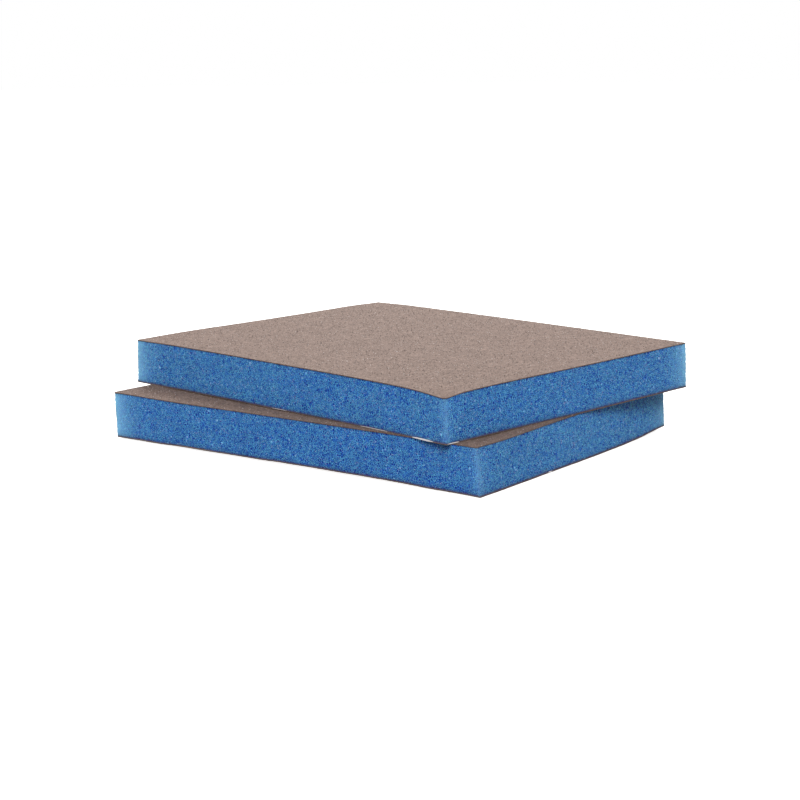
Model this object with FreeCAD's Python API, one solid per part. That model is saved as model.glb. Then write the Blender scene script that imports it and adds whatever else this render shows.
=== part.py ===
"""A pair of two-sided foam sanding pads, one lying turned on the other.

Each pad is a laminate: a foam core with four thin coats on each of its two faces. Every coat is a
separate solid, and so is the core. Lengths are in millimetres and angles in degrees. The origin is the
centre of the lower pad's underside, +X runs along the lower pad's length and +Z points up.
"""

import FreeCAD, Part

import os

PARTS_FOLDER = "parts"

# One pad, over its coats. The pads are cut from soft sheets, so their widths differ a little.
PAD_LENGTH = 120.0
LOWER_WIDTH = 92.0
UPPER_WIDTH = 96.0
PAD_THICKNESS = 12.1
CORNER_RADIUS = 0.4  # the cutting die leaves the upright edges this round

# The coats on one face, from the foam outwards: name and thickness.
COATS = (
    ("barrier_coat", 0.05),  # flexible latex that keeps the resin out of the foam
    ("make_coat", 0.04),  # resin that the grain is set in
    ("grain_layer", 0.08),  # the abrasive mineral
    ("size_coat", 0.04),  # resin over the grain, which locks it in
)
COAT_STACK = sum(thickness for _, thickness in COATS)
CORE_THICKNESS = PAD_THICKNESS - 2 * COAT_STACK

# How the upper pad lies on the lower one.
GRAIN_STANDOFF = 0.15  # proud grains hold the two faces apart
UPPER_OFFSET_X = -1.7
UPPER_OFFSET_Y = 10.5
UPPER_TURN = -8.6  # about +Z
UPPER_BASE = PAD_THICKNESS + GRAIN_STANDOFF

UP = FreeCAD.Vector(0, 0, 1)
ORIGIN = FreeCAD.Vector(0, 0, 0)


def slab(width, base, thickness):
    """A pad-shaped slab with its lower face at height base."""
    corner = FreeCAD.Vector(-PAD_LENGTH / 2, -width / 2, base)
    block = Part.makeBox(PAD_LENGTH, width, thickness, corner)
    upright = [edge for edge in block.Edges if edge.tangentAt(edge.FirstParameter).cross(UP).Length < 0.5]
    return block.makeFillet(CORNER_RADIUS, upright)


def coated_face(width, face, foam_face, outwards):
    """The coats of one face by name, laid on the foam at height foam_face. outwards is 1 up and -1 down."""
    coats = {}
    near = foam_face
    for name, thickness in COATS:
        far = near + outwards * thickness
        coats[f"{face}_{name}"] = slab(width, min(near, far), thickness)
        near = far
    return coats


def pad(width):
    """One pad standing on height 0, as its core and its eight coats."""
    layers = {"foam_core": slab(width, COAT_STACK, CORE_THICKNESS)}
    layers.update(coated_face(width, "bottom", COAT_STACK, -1))
    layers.update(coated_face(width, "top", COAT_STACK + CORE_THICKNESS, 1))
    return layers


def place(shape, offset, turn):
    """A copy of the shape, turned about +Z and then moved."""
    placed = shape.copy()
    placed.rotate(ORIGIN, UP, turn)
    placed.translate(offset)
    return placed


def write(node, shape):
    """Writes one node's STEP after making sure that it is one closed solid."""
    solid = shape.Solids[0]
    if len(shape.Solids) != 1 or not solid.isValid() or not solid.isClosed():
        raise ValueError(f"{node} is not one closed solid")
    solid.exportStep(os.path.join(PARTS_FOLDER, f"{node}.step"))


def main():
    os.makedirs(PARTS_FOLDER, exist_ok=True)
    upper_offset = FreeCAD.Vector(UPPER_OFFSET_X, UPPER_OFFSET_Y, UPPER_BASE)
    pads = {
        "lower_pad": (LOWER_WIDTH, ORIGIN, 0.0),
        "upper_pad": (UPPER_WIDTH, upper_offset, UPPER_TURN),
    }
    for pad_name, (width, offset, turn) in pads.items():
        for layer, shape in pad(width).items():
            write(f"{pad_name}_{layer}", place(shape, offset, turn))


main()
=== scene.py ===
"""Looks of a stacked pair of two-sided foam sanding pads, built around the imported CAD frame.

Each pad is made of a foam core with open cells and, on both of its faces, a latex barrier coat, a
make coat of resin, abrasive grains and a size coat over them. Every layer is its own piece and rides
on its pad's body. Lengths are in millimetres until a mesh is made. The frame, the meshes and the
studio are in metres.
"""

import math

import bpy
import numpy as np
from mathutils import Matrix, Vector
from mathutils.geometry import delaunay_2d_cdt


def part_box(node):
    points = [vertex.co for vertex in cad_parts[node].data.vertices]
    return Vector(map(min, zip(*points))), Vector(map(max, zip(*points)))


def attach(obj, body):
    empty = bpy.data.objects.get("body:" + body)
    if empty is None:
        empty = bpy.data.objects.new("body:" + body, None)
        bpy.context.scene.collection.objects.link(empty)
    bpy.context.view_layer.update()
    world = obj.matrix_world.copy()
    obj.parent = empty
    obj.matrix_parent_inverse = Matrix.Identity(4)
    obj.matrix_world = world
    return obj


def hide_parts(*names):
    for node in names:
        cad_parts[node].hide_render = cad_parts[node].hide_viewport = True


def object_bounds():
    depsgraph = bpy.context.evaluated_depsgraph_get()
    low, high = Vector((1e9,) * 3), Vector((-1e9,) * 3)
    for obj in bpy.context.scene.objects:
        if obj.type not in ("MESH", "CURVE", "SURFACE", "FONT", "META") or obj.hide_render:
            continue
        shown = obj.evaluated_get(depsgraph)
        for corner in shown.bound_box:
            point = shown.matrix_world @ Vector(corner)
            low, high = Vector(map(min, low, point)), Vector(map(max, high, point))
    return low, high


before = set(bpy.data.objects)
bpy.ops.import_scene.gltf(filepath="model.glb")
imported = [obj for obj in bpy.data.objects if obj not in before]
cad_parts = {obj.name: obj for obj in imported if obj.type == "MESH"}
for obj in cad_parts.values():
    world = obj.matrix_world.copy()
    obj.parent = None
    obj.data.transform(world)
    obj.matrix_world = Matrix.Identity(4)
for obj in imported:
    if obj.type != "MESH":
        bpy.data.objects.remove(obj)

CAD_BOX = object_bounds()
MM = 0.001
HAIR = 1e-6  # lengths that differ by less are the same

PADS = ("lower_pad", "upper_pad")
FACES = ("bottom", "top")

# The cut side of the foam. The wandering of a surface is given as the height and width of its hills.
CORNER_RADIUS = 0.4
SIDE_HILLS = ((0.08, 7.0), (0.05, 2.2))
SIDE_SEED = 11
SIDE_INSET = 0.06
SKIN_INSET = 0.05  # how far the rims of the core's plain skins lie inside the pad's outline
CELL_PITCH = 0.44
EVENING_ROUNDS = 4
CELL_DEPTH = (0.3, 0.5)  # least and most depth of an open cell
FILM_DEPTH = 0.06  # depth of a cell that a film still closes
FILM_RARITY = 75  # the higher, the fewer cells have a film
GLINT_RARITY = 22  # the higher, the fewer corners of cells get a painted glint
SHOULDER = 0.74  # where a strut's flank ends, as a share of the way from a cell's middle to its corner
STRUT_STEP = 0.08  # how far a corner of a cell stands out or in
FLANK_DEPTH = 0.5  # how deep a strut's flank ends, as a share of the cell's depth
FLANK_SHADE = 0.85  # how much of the pits' painted shade is there
FLANK_FILM = 0.2  # how much of a film's pale colour is there
EDGE_REACH = (0.8, 0.2)  # how far up from its lower edge and down from its upper one the foam has painted shade
UPPER_EDGE = 0.45  # how strong the painted shade is at the upper edge, as a share of the lower one
STAIN_AND_SHADE_REACH = 0.2  # how far up from its lower edge the foam is stained by the coats, a stain made darker as painted shade
GLOW_STRENGTH = (0.95, 0.42)  # at the corners with the bright side behind them, and at the others
GLOW_REACH = (3.2, 1.2)

# The coats. A face is filled with rows of points. These three are shares of the points' pitch.
ROW_STEP = 0.866  # from one row to the next
FILL_MARGIN = 0.8  # from the rim to the first points
FILL_JITTER = 0.28  # how far a point is moved at random
GRIT_PITCH = 0.38
GRIT_HEIGHT = 0.07
GRIT_HILLS = ((0.035, 0.9), (0.012, 3.1))
GRIT_SEED = 31
SHEET_PITCH = 3.0  # inner points of a coat that only shows at its rim
RIM_PITCH = 0.35
RIM_INSET = 0.05
RIM_HILLS = ((0.04, 2.6), (0.02, 0.8))
LIP_RINGS = 6
SIZE_LIP = 0.03  # how far the size coat bulges at its rim

# The grains: spread over a face, and in a close row along its rim.
GRAIN_PITCH = 0.8
GRAIN_JITTER = 0.45  # as a share of the pitch
GRAIN_MARGIN = 0.3  # from the rim to the first spread grains
GRAIN_RISE = (0.0, 0.1)  # how far out a grain's middle is from the middle of the grain layer
RIM_GRAIN_PITCH = 0.5
RIM_GRAIN_JITTER = 0.4
RIM_GRAIN_INSET = 0.14
RIM_GRAIN_RISE = (-0.04, 0.04)
GRAIN_RADIUS = (0.09, 0.18)
GRAIN_HEIGHT = (0.08, 0.16)  # least and most distance from a grain's middle to its tips
WAIST_TURN = 0.4  # how unevenly, in radians, the four points round a grain's waist are spaced
WAIST_REACH = (0.65, 1.2)  # how far out they are, as shares of the radius
WAIST_STEP = 0.03
TIP_LEAN = 0.05
SHADE_SHARES = (0.5, 0.35, 0.15)  # how many of the grains are brown, tan and clear

# Where resin has run over a pad's lower rim: the place of its middle along the outline from the front
# right corner, how far it reaches to both sides, its radius, and whether it carries a painted glint.
RUN_RINGS = 24
RUN_SIDES = 10
RESIN_RUNS = {
    "lower_pad": ((-108.5, 4.5, 0.12, False), (-91.0, 7.0, 0.18, False), (31.0, 0.9, 0.15, True)),
    "upper_pad": (
        (-60.0, 3.2, 0.06, True),
        (-25.0, 5.0, 0.08, True),
        (-8.0, 3.7, 0.22, True),
        (2.2, 2.0, 0.15, True),
    ),
}

# How a pad has settled. CROWN is how far the middle of its top and of its underside has risen along the
# length, DISH how far they have risen inside the rim, where the other pad has pressed them in, and WAVE
# how far its underside wanders. A bend has its place as shares of half the pad's length and width, how far
# its top and its underside have moved (along X, Y and Z) and how far the bend reaches. The bends that
# reach 900 mm move the whole top or underside, which makes the cut sides lean.
CROWN = {"lower_pad": (0.15, 0.6), "upper_pad": (0.0, 0.0)}
DISH = {"lower_pad": (-0.22, 0.0), "upper_pad": (0.0, 0.22)}
DISH_POWER = 8  # the higher, the flatter the dish and the closer to the rim its slope
WAVE = {"lower_pad": 0.1, "upper_pad": 0.03}
WAVE_WIDTH = 9.0
WAVE_SEED = 41
BENDS = {
    "lower_pad": (
        ((0, 0), (-0.8, 0.9, 0.0), (0.0, 0.0, 0.0), 900.0),
        ((-1, -1), (-0.3, 0.0, 0.4), (0.3, 0.0, 0.3), 16.0),
        ((1, -1), (-0.7, 0.0, 0.0), (0.0, 0.0, 0.0), 10.0),
        ((1, -0.8), (0.0, 0.0, -0.3), (0.0, 0.0, 0.0), 15.0),
        ((1, 0), (0.0, 0.0, 0.0), (0.7, 0.0, 0.0), 45.0),
        ((1, 1), (0.0, 0.0, 0.0), (0.0, 0.0, 0.9), 12.0),
    ),
    "upper_pad": (
        ((0, 0), (0.0, 0.0, 0.0), (1.0, -0.9, 0.0), 900.0),
        ((-1, -1), (0.0, 0.0, -0.3), (-0.3, 0.0, -0.1), 12.0),
        ((-1, 0.2), (0.0, 0.0, -0.3), (0.0, 0.0, 0.0), 40.0),
        ((-1, 1), (0.0, 0.0, -0.3), (0.0, 0.0, 0.0), 8.0),
        ((1, -1), (0.0, 0.0, -0.4), (0.0, 0.0, -0.2), 20.0),
        ((0.95, -1), (-0.2, -0.1, -0.45), (-0.1, -0.1, -0.1), 6.5),
        ((1, -1), (-0.1, -0.1, -0.4), (-0.1, 0.0, 0.0), 3.5),
        ((1, 0), (0.0, 0.0, -0.35), (0.5, 0.0, -0.25), 45.0),
    ),
}

# The camera: the point it looks at, where it is as seen from there, its roll and its lens.
TARGET = (10.12, -9.44, 12.1)
AZIMUTH = 36.17
ELEVATION = 11.37
DISTANCE = 505.2
ROLL = -0.63
LENS = 84.99
SENSOR_WIDTH = 36.0

# The studio, in metres. A lamp has a name, azimuth, elevation, distance, size and power.
CLIP_START, CLIP_END = 0.01, 20.0
FLOOR_SIZE = 6.0
FLOOR_DROP = 0.0002  # keeps the floor out of the plane of the lower pad's underside
TENT_RADIUS = 2.9
WORLD_LIGHT = 0.3
LAMPS = (
    ("back_softbox", 216, 40, 1.0, 0.8, 14.0),
    ("front_softbox", 36, 42, 1.0, 0.5, 7.2),
)


# ---------------------------------------------------------------- where the frame puts each pad


def layer_node(pad, face, layer):
    return f"{pad}_{face}_{layer}"


def side_direction(node):
    """How far a node is turned about +Z, in radians, from the normal of its largest upright face."""
    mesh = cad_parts[node].data
    upright = [p for p in mesh.polygons if abs(p.normal.z) < 0.1]
    normal = max(upright, key=lambda p: p.area).normal
    turn = math.atan2(normal.y, normal.x) - math.pi / 2
    return (turn + math.pi / 2) % math.pi - math.pi / 2


def own_sides(node, turn):
    """A node's length and width, measured along its own sides."""
    points = np.array([v.co.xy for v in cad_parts[node].data.vertices]) / MM
    along = points @ (math.cos(turn), math.sin(turn))
    across = points @ (-math.sin(turn), math.cos(turn))
    return np.ptp(along), np.ptp(across)


class Pad:
    """A pad's size, outline and place, all read from the frame."""

    def __init__(self, name):
        core = f"{name}_foam_core"
        low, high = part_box(core)
        self.name = name
        self.turn = side_direction(core)
        self.length, self.width = own_sides(core, self.turn)
        self.centre = ((low + high) / 2 / MM).xy
        self.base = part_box(layer_node(name, "bottom", "size_coat"))[0].z / MM
        self.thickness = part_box(layer_node(name, "top", "size_coat"))[1].z / MM - self.base
        straights = 2 * (self.length + self.width - 4 * CORNER_RADIUS)
        self.perimeter = straights + 2 * math.pi * CORNER_RADIUS

    def levels(self, node):
        """The heights of a node's lower and upper side above the pad's underside."""
        low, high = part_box(node)
        return low.z / MM - self.base, high.z / MM - self.base

    def outline(self, distance, outset=0.0):
        """Points (x, y) on the flat pad's outline at these distances along it, moved outwards by outset.

        It starts at the left end of the front side, runs to the right and so round anticlockwise.
        """
        along, across = self.length - 2 * CORNER_RADIUS, self.width - 2 * CORNER_RADIUS
        arc = math.pi / 2 * CORNER_RADIUS
        stops = np.cumsum([0, along, arc, across, arc, along, arc, across, arc])
        corner_x = np.array([-1, 1, 1, 1, 1, -1, -1, -1, -1]) * along / 2
        corner_y = np.array([-1, -1, -1, 1, 1, 1, 1, -1, -1]) * across / 2
        facing = np.array([-1, -1, 0, 0, 1, 1, 2, 2, 3]) * math.pi / 2
        distance = np.mod(distance, stops[-1])
        angle = np.interp(distance, stops, facing)
        reach = CORNER_RADIUS + outset
        x = np.interp(distance, stops, corner_x) + reach * np.cos(angle)
        y = np.interp(distance, stops, corner_y) + reach * np.sin(angle)
        return np.stack([x, y], 1)

    def on_side(self, distance, height, out):
        """Points of the flat pad on its side, moved outwards."""
        base = self.outline(distance)
        away = self.outline(distance, 1.0) - base
        return np.column_stack([base + away * np.reshape(out, (-1, 1)), np.broadcast_to(height, len(base))])

    def placed(self, points):
        """These points of the flat pad, settled and put in place, in metres.

        The flat pad has its origin at the middle of its underside.
        """
        settled = settle(points, self)
        cos, sin = math.cos(self.turn), math.sin(self.turn)
        x = cos * settled[:, 0] - sin * settled[:, 1] + self.centre.x
        y = sin * settled[:, 0] + cos * settled[:, 1] + self.centre.y
        return np.stack([x, y, settled[:, 2] + self.base], 1) * MM


def settle(points, pad):
    """Bends the flat pad as the real one lies, with sides and corners that droop, lift or lean."""
    x, y = points[:, 0], points[:, 1]
    across_x, across_y = 2 * x / pad.length, 2 * y / pad.width
    height = np.clip(points[:, 2] / pad.thickness, 0, 1)
    moved = points.copy()
    top_crown, bottom_crown = CROWN[pad.name]
    crown = top_crown * height + bottom_crown * (1 - height)
    moved[:, 2] += crown * (1 - across_x**2)
    top_dish, bottom_dish = DISH[pad.name]
    inside = np.clip(1 - across_x**DISH_POWER, 0, 1) * np.clip(1 - across_y**DISH_POWER, 0, 1)
    moved[:, 2] += (top_dish * height + bottom_dish * (1 - height)) * inside
    moved[:, 2] += WAVE[pad.name] * (1 - height) * smooth_noise(x, y, WAVE_WIDTH, WAVE_SEED)
    height = height[:, None]
    for place, top, bottom, reach in BENDS[pad.name]:
        middle = np.array(place) * (pad.length / 2, pad.width / 2)
        near = np.exp(-((points[:, :2] - middle) ** 2).sum(1) / reach**2)[:, None]
        moved += near * (height * top + (1 - height) * bottom)
    return moved


# ---------------------------------------------------------------- numbers and meshes


def smooth_noise(x, y, pitch, seed):
    """Noise from -1 to 1 with hills about one pitch wide, the same for the same seed."""
    u, v = x / pitch, y / pitch
    column, row = np.floor(u).astype(np.int64), np.floor(v).astype(np.int64)
    u, v = u - column, v - row
    u, v = u * u * (3 - 2 * u), v * v * (3 - 2 * v)

    def lattice(i, j):
        """A number from -1 to 1 for each place on the grid, hashed from the place and the seed."""
        mixed = (i * 374761393 + j * 668265263 + seed * 144269504) & 0xFFFFFFFF
        mixed = ((mixed ^ (mixed >> 13)) * 1274126177) & 0xFFFFFFFF
        return ((mixed ^ (mixed >> 16)) & 0xFFFF) / 32767.5 - 1

    near = lattice(column, row) * (1 - u) + lattice(column + 1, row) * u
    far = lattice(column, row + 1) * (1 - u) + lattice(column + 1, row + 1) * u
    return near * (1 - v) + far * v


def hilly(x, y, hills, seed):
    """The sum of noises whose hills have these heights and widths, each with a seed of its own."""
    return sum(height * smooth_noise(x, y, width, seed + k) for k, (height, width) in enumerate(hills))


def triangulate(points, edges, closeness):
    """Triangles over these points that keep these edges, and which points each of their corners is.

    Points closer together than closeness become one corner.
    """
    found = delaunay_2d_cdt([tuple(p) for p in points], edges, [], 0, closeness, True)
    return np.array(found[2]), found[3]


def filled(loop, pitch, rng):
    """Triangles over a closed anticlockwise loop of points, and all their points.

    The loop's points come first, and then inner points about a pitch apart.
    """
    length, width = np.ptp(loop, axis=0)
    rows = int((width - 2 * FILL_MARGIN * pitch) / (pitch * ROW_STEP))
    columns = int((length - 2 * FILL_MARGIN * pitch) / pitch)
    i, j = np.meshgrid(np.arange(columns), np.arange(rows))
    x = (i + 0.25 + 0.5 * (j % 2) - columns / 2) * pitch  # every other row is half a pitch further on
    y = (j + 0.5 - rows / 2) * pitch * ROW_STEP
    jitter = rng.uniform(-FILL_JITTER, FILL_JITTER, (x.size, 2)) * pitch
    points = np.concatenate([loop, np.stack([x.ravel(), y.ravel()], 1) + jitter])
    ring = [(k, (k + 1) % len(loop)) for k in range(len(loop))]
    triangles, origins = triangulate(points, ring, HAIR)
    names = np.array([each[0] for each in origins])
    triangles = np.sort(names[triangles], 1)
    a, b, c = (points[triangles[:, k]] for k in range(3))
    clockwise = (b - a)[:, 0] * (c - a)[:, 1] < (b - a)[:, 1] * (c - a)[:, 0]
    in_a_dent = clockwise & (triangles[:, 2] < len(loop))  # between loop points, but outside the loop
    triangles[clockwise] = triangles[clockwise][:, ::-1]
    return points, triangles[~in_a_dent]


def new_piece(name, pad, points, faces, materials):
    """A Blender object of these points of the flat pad. faces lists arrays of triangles or of quads."""
    mesh = bpy.data.meshes.new(name)
    mesh.vertices.add(len(points))
    mesh.vertices.foreach_set("co", pad.placed(points).astype(np.float32).ravel())
    corners = np.concatenate([f.ravel() for f in faces])
    sides = np.concatenate([np.full(len(f), f.shape[1]) for f in faces])
    mesh.loops.add(len(corners))
    mesh.loops.foreach_set("vertex_index", corners.astype(np.int32))
    mesh.polygons.add(len(sides))
    mesh.polygons.foreach_set("loop_start", (np.cumsum(sides) - sides).astype(np.int32))
    mesh.update(calc_edges=True)
    mesh.shade_smooth()
    for material in materials:
        mesh.materials.append(material)
    piece = bpy.data.objects.new(name, mesh)
    bpy.context.scene.collection.objects.link(piece)
    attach(piece, pad.name)
    return piece


def add_values(piece, name, values):
    """Stores one number for each of the mesh's points, for its material to read."""
    attribute = piece.data.attributes.new(name, "FLOAT", "POINT")
    attribute.data.foreach_set("value", values.astype(np.float32))


# ---------------------------------------------------------------- foam core


def triangles_round(seeds, low, high, nudge, turn_length):
    """Triangles between the foam cells' middles on the unrolled side, which is closed on itself.

    The seeds are mirrored past the lower and upper edge, which makes the cells end in a straight line
    there, and then repeated past both ends. Returns all these points, each one's name and the triangles.
    The names from 0 are the seeds', and the two mirrored sets follow.
    """
    margin = 5 * CELL_PITCH
    mirrored_low = np.stack([seeds[:, 0], 2 * low - seeds[:, 1] - nudge], 1)
    mirrored_high = np.stack([seeds[:, 0], 2 * high - seeds[:, 1] + nudge], 1)
    points = np.concatenate([seeds, mirrored_low, mirrored_high])
    names = np.arange(len(points))
    near = (points[:, 1] > low - margin) & (points[:, 1] < high + margin)
    points, names = points[near], names[near]
    late, early = points[:, 0] > turn_length - margin, points[:, 0] < margin
    every = np.concatenate([points, points[late] - (turn_length, 0), points[early] + (turn_length, 0)])
    names = np.concatenate([names, names[late], names[early]])
    triangles, _ = triangulate(every, [], 1e-9)  # so close that no two become one
    return every, names, triangles


class Cells:
    """The foam's cells round these seeds: their corners, and each cell's corners in order.

    corners holds each corner once. A step runs from one corner of a cell to its next: cell and corner
    say whose step it is and where it starts, following is the cell's next step, and ring is the start's
    place beside the cell's own middle. Places are distance along the outline and height.
    """

    def __init__(self, seeds, low, high, nudge, turn_length):
        count = len(seeds)
        points, names, triangles = triangles_round(seeds, low, high, nudge, turn_length)
        keys = np.sort(names[triangles], 1)
        places = points[triangles].mean(1)
        which, side = np.nonzero(triangles < count)  # the seeds come first, so these are no copies
        cell = triangles[which, side]
        arm = places[which] - points[cell]
        order = np.lexsort((np.arctan2(arm[:, 1], arm[:, 0]), cell))
        self.cell, which = cell[order], which[order]

        # A triangle with a mirrored seed lies across an edge, and its corner is moved onto that edge.
        crossing = keys[:, 2] >= count
        at_high = keys[:, 2] >= 2 * count
        places[crossing & ~at_high, 1] = low
        places[crossing & at_high, 1] = high
        _, first, name = np.unique(keys, axis=0, return_index=True, return_inverse=True)
        used, self.corner = np.unique(name.ravel()[which], return_inverse=True)
        self.corners = places[first[used]]
        self.ring = places[which]

        starts = np.flatnonzero(np.diff(self.cell, prepend=-1))
        self.following = np.arange(1, len(cell) + 1)
        self.following[np.append(starts[1:], len(cell)) - 1] = starts
        sums = np.stack([np.bincount(self.cell, self.ring[:, k], count) for k in range(2)], 1)
        self.middle = sums / np.bincount(self.cell, minlength=count)[:, None]


def foam_cells(low, high, turn_length, rng):
    """Cells of uneven size and shape: random ones, evened out a little."""
    count = round(turn_length * (high - low) / (ROW_STEP * CELL_PITCH**2))
    seeds = rng.random((count, 2)) * (turn_length, high - low) + (0, low)
    nudge = rng.uniform(0, 0.01, count)  # keeps a seed and its mirror image from meeting on a square
    for _ in range(EVENING_ROUNDS):
        seeds = Cells(seeds, low, high, nudge, turn_length).middle
        seeds[:, 0] %= turn_length
    return Cells(seeds, low, high, nudge, turn_length)


def waviness(places):
    """How far out the cut side lies at these places, before its cells."""
    return hilly(places[:, 0], places[:, 1], SIDE_HILLS, SIDE_SEED) - SIDE_INSET


def foam_side(pad, cells, depth, low, high, rng):
    """The cut side's points and faces.

    The points are the cells' corners on the struts, then where the struts' flanks end, one for each
    step, and then the cells' deepest points.
    """
    corners, middle, cell = cells.corners, cells.middle, cells.cell
    at_skin = (corners[:, 1] < low + HAIR) | (corners[:, 1] > high - HAIR)
    uneven = rng.uniform(-STRUT_STEP, STRUT_STEP, len(corners))
    crest = np.where(at_skin, -SKIN_INSET, waviness(corners) + uneven)
    shoulder = middle[cell] + (cells.ring - middle[cell]) * SHOULDER
    shoulder_out = (crest[cells.corner] + waviness(shoulder)) / 2 - FLANK_DEPTH * depth[cell]
    places = np.concatenate([corners, shoulder, middle])
    out = np.concatenate([crest, shoulder_out, waviness(middle) - depth])
    points = pad.on_side(places[:, 0], places[:, 1], out)

    step = len(corners) + np.arange(len(cell))
    next_step = len(corners) + cells.following
    first_middle = len(corners) + len(cell)
    struts = np.stack([cells.corner, cells.corner[cells.following], next_step, step], 1)
    floors = np.stack([step, next_step, first_middle + cell], 1)
    return points, [struts, floors]


def foam_skin(pad, corners, points, level, rng):
    """The core's plain skin at this height: its inner points, to follow these points, and its triangles."""
    loop = np.flatnonzero(np.abs(corners[:, 1] - level) < HAIR)
    loop = loop[np.argsort(np.mod(corners[loop, 0], pad.perimeter))]
    spots, triangles = filled(points[loop, :2], SHEET_PITCH, rng)
    inner = spots[len(loop) :]
    names = np.concatenate([loop, len(points) + np.arange(len(inner))])
    return np.column_stack([inner, np.full(len(inner), level)]), names[triangles]


def add_foam_values(piece, cells, film, depth, points, low, high, rng):
    """Stores what the foam's colours depend on, apart from its glow."""

    def everywhere(at_corners, at_flanks, at_middles):
        """The values of all points, which are 0 at the skins' inner points."""
        given = np.concatenate([at_corners, at_flanks, at_middles])
        return np.pad(given, (0, len(points) - len(given)))

    knot = rng.random(len(cells.corners))
    glint = rng.random(len(cells.corners)) ** GLINT_RARITY
    hollow = depth / CELL_DEPTH[1]
    up, down = points[:, 2] - low, high - points[:, 2]
    # Painted shade along the foam's lower and upper edges, where it meets the coats.
    edge = np.exp(-up / EDGE_REACH[0]) + UPPER_EDGE * np.exp(-down / EDGE_REACH[1])
    add_values(piece, "tone", everywhere(knot, knot[cells.corner], np.full(len(depth), 0.5)))
    # hollow sets how much painted shade a point gets from its cell's depth.
    add_values(piece, "hollow", everywhere(0 * knot, FLANK_SHADE * hollow[cells.cell], hollow))
    # The film values carry the cells' pale films and, at their corners, painted glints.
    add_values(piece, "film", everywhere(glint, FLANK_FILM * film[cells.cell], film))
    add_values(piece, "edge", edge)
    # The coats' brown stain along the lower edge, darkened as painted shade.
    add_values(piece, "stain", np.exp(-up / STAIN_AND_SHADE_REACH))


def corner_glow(pad, points):
    """How much light comes through the foam near its upright corners.

    It is most at the two corners that have the bright side behind them.
    """
    gap_x = pad.length / 2 - np.abs(points[:, 0])
    gap_y = pad.width / 2 - np.abs(points[:, 1])
    backlit = points[:, 0] * points[:, 1] > 0
    strength = np.where(backlit, *GLOW_STRENGTH)
    reach = np.where(backlit, *GLOW_REACH)
    return strength * np.exp(-np.maximum(np.hypot(gap_x, gap_y), 0) / reach)


def foam_core(pad, rng, material):
    """The core: pits with struts between them round its side, and a plain skin under the coats."""
    low, high = pad.levels(f"{pad.name}_foam_core")
    cells = foam_cells(low, high, pad.perimeter, rng)
    count = len(cells.middle)
    film = rng.random(count) ** FILM_RARITY
    depth = FILM_DEPTH + (1 - film) * (rng.uniform(*CELL_DEPTH, count) - FILM_DEPTH)
    points, faces = foam_side(pad, cells, depth, low, high, rng)
    for level, winding in ((low, -1), (high, 1)):  # the lower skin faces down
        inner, triangles = foam_skin(pad, cells.corners, points, level, rng)
        points = np.concatenate([points, inner])
        faces.append(triangles[:, ::winding])
    piece = new_piece(f"{pad.name}_foam", pad, points, faces, [material])
    add_foam_values(piece, cells, film, depth, points, low, high, rng)
    add_values(piece, "glow", corner_glow(pad, points))
    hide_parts(f"{pad.name}_foam_core")


# ---------------------------------------------------------------- coats and grains


def lip_rings(pad, near, far, lip, seed):
    """Rings of points round a coat's rim, from the foam's side at height near to its outer side at far."""
    steps = round(pad.perimeter / RIM_PITCH)
    distance = np.arange(steps) * pad.perimeter / steps
    ragged = hilly(distance, 0 * distance, RIM_HILLS, seed)
    swell = math.copysign(lip, far - near)
    rings = []
    for angle in np.linspace(0, math.pi, LIP_RINGS):
        out = ragged - RIM_INSET + (lip + RIM_INSET) * math.sin(angle)
        level = (near + far) / 2 - (far - near) / 2 * math.cos(angle) - swell * math.sin(2 * angle)
        rings.append(pad.on_side(distance, level, out))
    return rings


def coat(pad, face, layer, material, rng, lip, relief=None):
    """A closed sheet with a rounded, slightly ragged rim. Its outer side may carry a relief."""
    node = layer_node(pad.name, face, layer)
    low, high = pad.levels(node)
    near, far = (low, high) if face == "top" else (high, low)
    rings = lip_rings(pad, near, far, lip, seed=len(node))  # a face's make and size coats get the same one
    steps = len(rings[0])
    spots, foam_faces = filled(rings[0][:, :2], SHEET_PITCH, rng)
    foam_side_points = np.column_stack([spots, np.full(len(spots), near)])
    spots, outer_faces = filled(rings[-1][:, :2], GRIT_PITCH if relief else SHEET_PITCH, rng)
    heights = relief(spots, rng) if relief else np.zeros(len(spots))
    outer_side_points = np.column_stack([spots, far + math.copysign(1, far - near) * heights])

    points = np.concatenate([foam_side_points, outer_side_points, *rings[1:-1]])
    first_outer = len(foam_side_points)
    first_between = first_outer + len(outer_side_points)
    starts = [0, *range(first_between, len(points), steps), first_outer]
    loops = [start + np.arange(steps) for start in starts]
    walls = [np.stack([a, np.roll(a, -1), np.roll(b, -1), b], 1) for a, b in zip(loops[:-1], loops[1:])]
    faces = [foam_faces[:, ::-1], outer_faces + first_outer, *walls]
    if face == "bottom":
        faces = [each[:, ::-1] for each in faces]
    piece = new_piece(f"{node}_sheet", pad, points, faces, [material])
    relief_values = np.zeros(len(points))
    relief_values[first_outer:first_between] = heights
    add_values(piece, "relief", relief_values)
    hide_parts(node)


def grit_relief(points, rng):
    """Height of the size coat over its mean: single grains on the soft swell of the foam's cells."""
    grains = rng.uniform(-1, 1, len(points)) * GRIT_HEIGHT
    return grains + hilly(points[:, 0], points[:, 1], GRIT_HILLS, GRIT_SEED)


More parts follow.
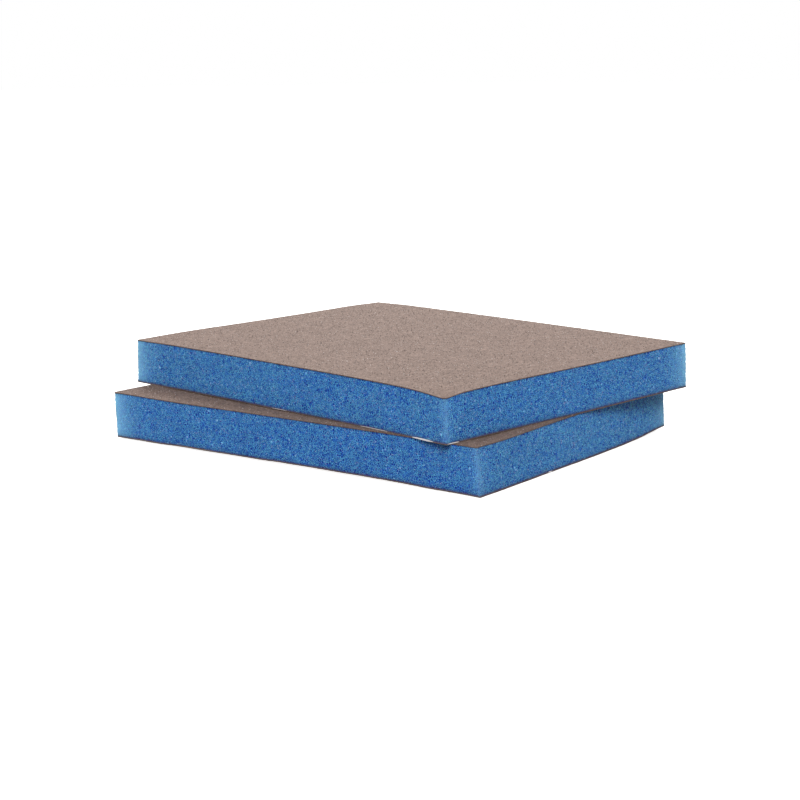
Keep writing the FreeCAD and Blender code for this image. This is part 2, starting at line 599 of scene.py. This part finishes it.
def resin_run(name, pad, middle, reach, radius, material):
    """A thin run of resin along a pad's lower rim, tapering to both ends."""
    level = pad.levels(layer_node(pad.name, "bottom", "barrier_coat"))[1]
    front_right = pad.length - 2 * CORNER_RADIUS + math.pi / 4 * CORNER_RADIUS
    along = np.repeat(np.linspace(-1, 1, RUN_RINGS + 2)[1:-1], RUN_SIDES)
    angle = np.tile(np.arange(RUN_SIDES) * 2 * math.pi / RUN_SIDES, RUN_RINGS)
    thick = radius * np.sqrt(1 - along**2)
    distance = front_right + middle + along * reach
    tube = pad.on_side(distance, level + thick * np.sin(angle), thick * np.cos(angle))
    tips = pad.on_side(front_right + middle + np.array([-reach, reach]), level, [0.0, 0.0])

    ring, side = np.meshgrid(np.arange(RUN_RINGS - 1), np.arange(RUN_SIDES), indexing="ij")
    here = (ring * RUN_SIDES + side).ravel()
    beside = (ring * RUN_SIDES + (side + 1) % RUN_SIDES).ravel()
    quads = np.stack([here, here + RUN_SIDES, beside + RUN_SIDES, beside], 1)
    first = np.arange(RUN_SIDES)
    last = first + (RUN_RINGS - 1) * RUN_SIDES
    start_fan = np.stack([np.roll(first, -1), np.full(RUN_SIDES, len(tube)), first], 1)
    end_fan = np.stack([last, np.full(RUN_SIDES, len(tube) + 1), np.roll(last, -1)], 1)
    points = np.concatenate([tube, tips])
    new_piece(name, pad, points, [quads, start_fan, end_fan], [material])


def grain_places(pad, rng):
    """Where a face's grains lie: the spread ones, and those along the rim."""
    sides = np.array([pad.length, pad.width])
    columns, rows = (sides / GRAIN_PITCH).astype(int)
    i, j = np.meshgrid(np.arange(columns), np.arange(rows))
    x = (i + 0.5 - columns / 2) * pad.length / columns
    y = (j + 0.5 - rows / 2) * pad.width / rows
    jitter = rng.uniform(-GRAIN_JITTER, GRAIN_JITTER, (x.size, 2)) * GRAIN_PITCH
    furthest = sides / 2 - GRAIN_MARGIN
    spread = np.clip(np.stack([x.ravel(), y.ravel()], 1) + jitter, -furthest, furthest)
    steps = round(pad.perimeter / RIM_GRAIN_PITCH)
    rim_jitter = rng.uniform(-RIM_GRAIN_JITTER, RIM_GRAIN_JITTER, steps)
    distance = (np.arange(steps) + rim_jitter) * pad.perimeter / steps
    return spread, pad.outline(distance, -RIM_GRAIN_INSET)


def crystal_points(places, level, radius, rng):
    """Six points for each crystal: four round its waist, and then its lower and its upper tip."""
    count = len(places)
    spin = rng.uniform(0, 2 * math.pi, count)[:, None]
    around = np.arange(4) * math.pi / 2 + spin + rng.uniform(-WAIST_TURN, WAIST_TURN, (count, 4))
    reach = radius[:, None] * rng.uniform(*WAIST_REACH, (count, 4))
    x = places[:, :1] + reach * np.cos(around)
    y = places[:, 1:] + reach * np.sin(around)
    z = level[:, None] + rng.uniform(-WAIST_STEP, WAIST_STEP, (count, 4))
    lower_lean, upper_lean = rng.uniform(-TIP_LEAN, TIP_LEAN, (2, count, 2))
    tall = np.clip(radius, *GRAIN_HEIGHT)
    lower_tip = np.column_stack([places + lower_lean, level - tall])[:, None]
    upper_tip = np.column_stack([places + upper_lean, level + tall])[:, None]
    return np.concatenate([np.stack([x, y, z], 2), lower_tip, upper_tip], 1).reshape(-1, 3)


def crystals(pad, face, rng, shades):
    """Abrasive grains: sharp, uneven, eight-sided, with their tips through the size coat."""
    node = layer_node(pad.name, face, "grain_layer")
    low, high = pad.levels(node)
    outwards = 1 if face == "top" else -1
    spread, rim = grain_places(pad, rng)
    places = np.concatenate([spread, rim])
    count = len(places)
    radius = rng.uniform(*GRAIN_RADIUS, count)
    level = (low + high) / 2 + outwards * rng.uniform(*GRAIN_RISE, count)
    level[len(spread) :] = (low + high) / 2 + rng.uniform(*RIM_GRAIN_RISE, len(rim))
    points = crystal_points(places, level, radius, rng)
    upper_facets = [(0, 1, 5), (1, 2, 5), (2, 3, 5), (3, 0, 5)]
    lower_facets = [(1, 0, 4), (2, 1, 4), (3, 2, 4), (0, 3, 4)]
    facets = np.array(upper_facets + lower_facets)
    triangles = (facets[None] + 6 * np.arange(count)[:, None, None]).reshape(-1, 3)
    piece = new_piece(f"{node}_crystals", pad, points, [triangles], shades)
    piece.data.shade_flat()
    shade = rng.choice(len(shades), count, p=SHADE_SHARES)
    piece.data.polygons.foreach_set("material_index", np.repeat(shade, len(facets)).astype(np.int32))
    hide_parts(node)


# ---------------------------------------------------------------- materials


class Nodes:
    """A material's node tree, with short ways to add and join its nodes.

    Sockets are given by name, with _ for a space, and take a number, a colour or another node's output.
    """

    def __init__(self, name):
        self.material = bpy.data.materials.new(name)
        self.material.use_nodes = True
        self.tree = self.material.node_tree
        self.shader = self.tree.nodes["Principled BSDF"]

    def add(self, kind, **inputs):
        node = self.tree.nodes.new(kind)
        for name, value in inputs.items():
            self.feed(node.inputs[name.replace("_", " ")], value)
        return node

    def feed(self, socket, value):
        """Links value to the socket if it is another node's output, and sets it otherwise."""
        if isinstance(value, bpy.types.NodeSocket):
            self.tree.links.new(value, socket)
        else:
            socket.default_value = value

    def value(self, attribute):
        """The number stored under this name for each point of the mesh."""
        node = self.add("ShaderNodeAttribute")
        node.attribute_name = attribute
        return node.outputs["Fac"]

    def noise(self, size, detail=2.0, roughness=0.5):
        """Noise from about 0 to 1 with features of that size in mm."""
        place = self.add("ShaderNodeTexCoord").outputs["Object"]
        scale = 1 / (size * MM)
        node = self.add("ShaderNodeTexNoise", Vector=place, Scale=scale, Detail=detail, Roughness=roughness)
        return node.outputs["Fac"]

    def cloud(self, size, detail=2.0):
        """Noise with more contrast, from 0 to 1."""
        return self.ramp(self.noise(size, detail), 0.3, 0.7)

    def scaled(self, value, factor):
        node = self.add("ShaderNodeMath")
        node.operation = "MULTIPLY"
        self.feed(node.inputs[0], value)
        self.feed(node.inputs[1], factor)
        return node.outputs[0]

    def blend(self, share, first, second, mode="MIX"):
        """Colour first at share 0 and second at share 1."""
        node = self.add("ShaderNodeMix")
        node.data_type = "RGBA"
        node.blend_type = mode
        self.feed(node.inputs["Factor"], share)
        colour_in = [s for s in node.inputs if s.type == "RGBA"]
        self.feed(colour_in[0], first)
        self.feed(colour_in[1], second)
        return [s for s in node.outputs if s.type == "RGBA"][0]

    def ramp(self, value, low, high):
        """0 where value is low and 1 where it is high, clamped."""
        node = self.add("ShaderNodeMapRange", Value=value)
        node.inputs["From Min"].default_value = low
        node.inputs["From Max"].default_value = high
        return node.outputs["Result"]

    def bump(self, height, distance, strength):
        """Roughens the surface by this height, for a distance in mm."""
        node = self.add("ShaderNodeBump", Height=height, Distance=distance * MM, Strength=strength)
        self.feed(self.shader.inputs["Normal"], node.outputs["Normal"])

    def set(self, **inputs):
        """Feeds the shader, and returns the finished material."""
        for name, value in inputs.items():
            self.feed(self.shader.inputs[name.replace("_", " ")], value)
        return self.material


def colour(red, green, blue):
    return (red, green, blue, 1.0)


def foam_material():
    """Blue foam: bright struts, dark pits, pale films in a few cells and a glow at the upright corners."""
    nodes = Nodes("open_foam")
    patches = nodes.cloud(6.0, 1.0)
    tone = nodes.ramp(nodes.value("tone"), 0.0, 0.95)
    dull = nodes.blend(patches, colour(0.008, 0.125, 0.70), colour(0.011, 0.155, 0.76))
    strut = nodes.blend(tone, dull, colour(0.15, 0.67, 1.0))
    # The pits' dark colour, blended in by their depth, is painted shade.
    pit_shade = nodes.blend(patches, colour(0.003, 0.04, 0.34), colour(0.004, 0.05, 0.38))
    hollow = nodes.ramp(nodes.value("hollow"), 0.1, 0.8)
    body = nodes.blend(hollow, strut, pit_shade)
    speckle = nodes.blend(nodes.cloud(0.17, 1.0), colour(0.15, 0.30, 0.58), colour(2.2, 1.72, 1.38))
    speckled = nodes.blend(1.0, body, speckle, "MULTIPLY")
    # Pale films in a few cells, and painted highlights as glints at some corners of cells.
    filmed_and_glinting = nodes.blend(nodes.value("film"), speckled, colour(0.55, 0.68, 1.0))
    lit = nodes.blend(nodes.value("glow"), filmed_and_glinting, colour(1.35, 1.5, 1.4), "MULTIPLY")
    glowing = nodes.blend(nodes.value("glow"), lit, colour(0.34, 0.74, 1.0))
    # Painted shade along the lower and upper edges, in the dark blue of the pits.
    shade = nodes.scaled(nodes.value("edge"), 0.5)
    shaded = nodes.blend(shade, glowing, colour(0.004, 0.035, 0.24))
    # A brown stain from the coats along the lower edge, partly real and darkened as painted shade.
    stain = nodes.scaled(nodes.value("stain"), 0.8)
    stained_and_shaded = nodes.blend(stain, shaded, colour(0.14, 0.085, 0.085))
    nodes.bump(nodes.noise(0.12), 0.05, 0.6)
    return nodes.set(
        Base_Color=stained_and_shaded,
        Roughness=nodes.ramp(nodes.noise(0.4), -1.0, 1.6),
        Specular_IOR_Level=0.1,
        Subsurface_Weight=0.25,
        Subsurface_Radius=(0.5, 0.8, 1.0),
        Subsurface_Scale=0.002,
    )


def size_material():
    """Taupe resin over grit: the hollows between the grains are darker than their tips."""
    nodes = Nodes("size_coat")
    swell = nodes.cloud(1.1)
    specks = nodes.ramp(nodes.noise(0.3, 2.0, 0.7), 0.35, 0.65)
    tips = nodes.ramp(nodes.value("relief"), -0.09, 0.09)
    low = nodes.blend(swell, colour(0.102, 0.067, 0.053), colour(0.133, 0.090, 0.071))
    high = nodes.blend(specks, colour(0.202, 0.143, 0.119), colour(0.365, 0.265, 0.222))
    nodes.bump(nodes.noise(0.2), 0.03, 0.7)
    return nodes.set(Base_Color=nodes.blend(tips, low, high), Roughness=0.8, Specular_IOR_Level=0.1)


def barrier_material():
    """Matt latex that has taken up some of the coats' colour."""
    nodes = Nodes("latex_barrier")
    body = nodes.blend(nodes.cloud(0.7), colour(0.13, 0.09, 0.088), colour(0.20, 0.14, 0.135))
    nodes.bump(nodes.noise(0.3), 0.04, 0.6)
    return nodes.set(Base_Color=body, Roughness=0.55)


def make_material():
    """Shiny brown resin."""
    nodes = Nodes("make_resin")
    body = nodes.blend(nodes.cloud(1.2), colour(0.13, 0.09, 0.075), colour(0.21, 0.145, 0.12))
    nodes.bump(nodes.noise(0.8), 0.06, 0.5)
    return nodes.set(Base_Color=body, Roughness=0.18, Specular_IOR_Level=0.6)


def painted_glint_material():
    """Resin where it ran over the rim, painted near white: a painted highlight where its lip catches the
    light.
    """
    nodes = Nodes("milky_resin")
    body = nodes.blend(nodes.cloud(1.5, 3.0), colour(0.70, 0.66, 0.64), colour(0.92, 0.91, 0.92))
    nodes.bump(nodes.noise(0.5), 0.05, 0.5)
    return nodes.set(Base_Color=body, Roughness=0.2, Specular_IOR_Level=0.7)


def grain_materials():
    """The mineral's three shades. Each crystal is clouded and its facets are chipped."""
    shades = (
        ("grain_brown", colour(0.05, 0.035, 0.03), colour(0.10, 0.072, 0.06), 0.35),
        ("grain_tan", colour(0.26, 0.19, 0.165), colour(0.42, 0.33, 0.29), 0.3),
        ("grain_clear", colour(0.48, 0.41, 0.38), colour(0.74, 0.67, 0.64), 0.15),
    )
    made = []
    for name, deep, pale, rough in shades:
        nodes = Nodes(name)
        body = nodes.blend(nodes.cloud(0.15), deep, pale)
        nodes.bump(nodes.noise(0.05), 0.01, 0.6)
        made.append(nodes.set(Base_Color=body, Roughness=rough, Specular_IOR_Level=0.5))
    return made


# ---------------------------------------------------------------- the pads


def build_pad(name, rng, looks):
    pad = Pad(name)
    foam_core(pad, rng, looks["foam_core"])
    for face in FACES:
        coat(pad, face, "barrier_coat", looks["barrier_coat"], rng, lip=0.0)
        coat(pad, face, "make_coat", looks["make_coat"], rng, lip=0.0)
        crystals(pad, face, rng, looks["grain_layer"])
        coat(pad, face, "size_coat", looks["size_coat"], rng, lip=SIZE_LIP, relief=grit_relief)
    for k, (middle, reach, radius, painted_glint) in enumerate(RESIN_RUNS[name], start=1):
        # A run with a painted glint is painted near white as a highlight; the others are brown make resin.
        material = looks["milky_resin"] if painted_glint else looks["make_coat"]
        resin_run(f"{name}_resin_run_{k}", pad, middle, reach, radius, material)


# ---------------------------------------------------------------- studio


def direction(azimuth, elevation):
    """From the object towards that side. Azimuth 0 is the side that faces -Y, and 90 is +X."""
    a, e = math.radians(azimuth), math.radians(elevation)
    return Vector((math.sin(a) * math.cos(e), -math.cos(a) * math.cos(e), math.sin(e)))


def studio_floor():
    """A white light table, which keeps the shadows under the pads faint."""
    nodes = Nodes("studio_white")
    tone = nodes.blend(nodes.noise(200.0), colour(0.80, 0.80, 0.80), colour(0.82, 0.82, 0.82))
    nodes.set(
        Base_Color=tone,
        Roughness=0.9,
        Specular_IOR_Level=0.1,
        Emission_Color=colour(1.0, 1.0, 1.0),
        Emission_Strength=0.9,
    )
    bpy.ops.mesh.primitive_plane_add(size=FLOOR_SIZE, location=(0, 0, CAD_BOX[0].z - FLOOR_DROP))
    floor = bpy.context.object
    floor.name = "studio_floor"
    floor.data.materials.append(nodes.material)
    floor.visible_diffuse = False


def studio_backdrop():
    """A white tent round the table. Only the camera sees it: the lamps do the lighting."""
    material = bpy.data.materials.new("studio_tent")
    material.use_nodes = True
    tree = material.node_tree
    tree.nodes.clear()
    glow = tree.nodes.new("ShaderNodeEmission")
    output = tree.nodes.new("ShaderNodeOutputMaterial")
    tree.links.new(glow.outputs["Emission"], output.inputs["Surface"])
    bpy.ops.mesh.primitive_uv_sphere_add(segments=32, ring_count=16, radius=TENT_RADIUS)
    tent = bpy.context.object
    tent.name = "studio_tent"
    tent.data.materials.append(material)
    tent.visible_diffuse = False
    tent.visible_glossy = False
    tent.visible_shadow = False


def soft_light(name, azimuth, elevation, distance, size, power):
    """A square area light that faces the pads from that side."""
    light = bpy.data.lights.new(name, "AREA")
    light.shape = "SQUARE"
    light.size = size
    light.energy = power
    lamp = bpy.data.objects.new(name, light)
    lamp.location = direction(azimuth, elevation) * distance
    lamp.rotation_mode = "QUATERNION"
    lamp.rotation_quaternion = direction(azimuth, elevation).to_track_quat("Z", "Y")
    bpy.context.scene.collection.objects.link(lamp)


def studio_lights():
    world = bpy.data.worlds.new("studio")
    bpy.context.scene.world = world
    world.use_nodes = True
    background = world.node_tree.nodes["Background"]
    background.inputs["Color"].default_value = colour(1.0, 1.0, 1.0)
    background.inputs["Strength"].default_value = WORLD_LIGHT
    for lamp in LAMPS:
        soft_light(*lamp)


def camera():
    lens = bpy.data.cameras.new("camera")
    lens.lens = LENS
    lens.sensor_width = SENSOR_WIDTH
    lens.clip_start, lens.clip_end = CLIP_START, CLIP_END
    r = math.radians(ROLL)
    back = direction(AZIMUTH, ELEVATION)
    right = Vector((0, 0, 1)).cross(back).normalized()
    up = back.cross(right)
    turned_right = right * math.cos(r) + up * math.sin(r)
    turned_up = up * math.cos(r) - right * math.sin(r)
    axes = Matrix((turned_right, turned_up, back)).transposed()
    eye = bpy.data.objects.new("camera", lens)
    eye.matrix_world = Matrix.Translation((Vector(TARGET) + back * DISTANCE) * MM) @ axes.to_4x4()
    bpy.context.scene.collection.objects.link(eye)
    bpy.context.scene.camera = eye


def main():
    looks = {
        "foam_core": foam_material(),
        "barrier_coat": barrier_material(),
        "make_coat": make_material(),
        "grain_layer": grain_materials(),
        "size_coat": size_material(),
        "milky_resin": painted_glint_material(),
    }
    for seed, name in enumerate(PADS, start=1):
        build_pad(name, np.random.default_rng(seed), looks)
    studio_floor()
    studio_backdrop()
    studio_lights()
    camera()
    bpy.context.scene.view_settings.view_transform = "Standard"


main()
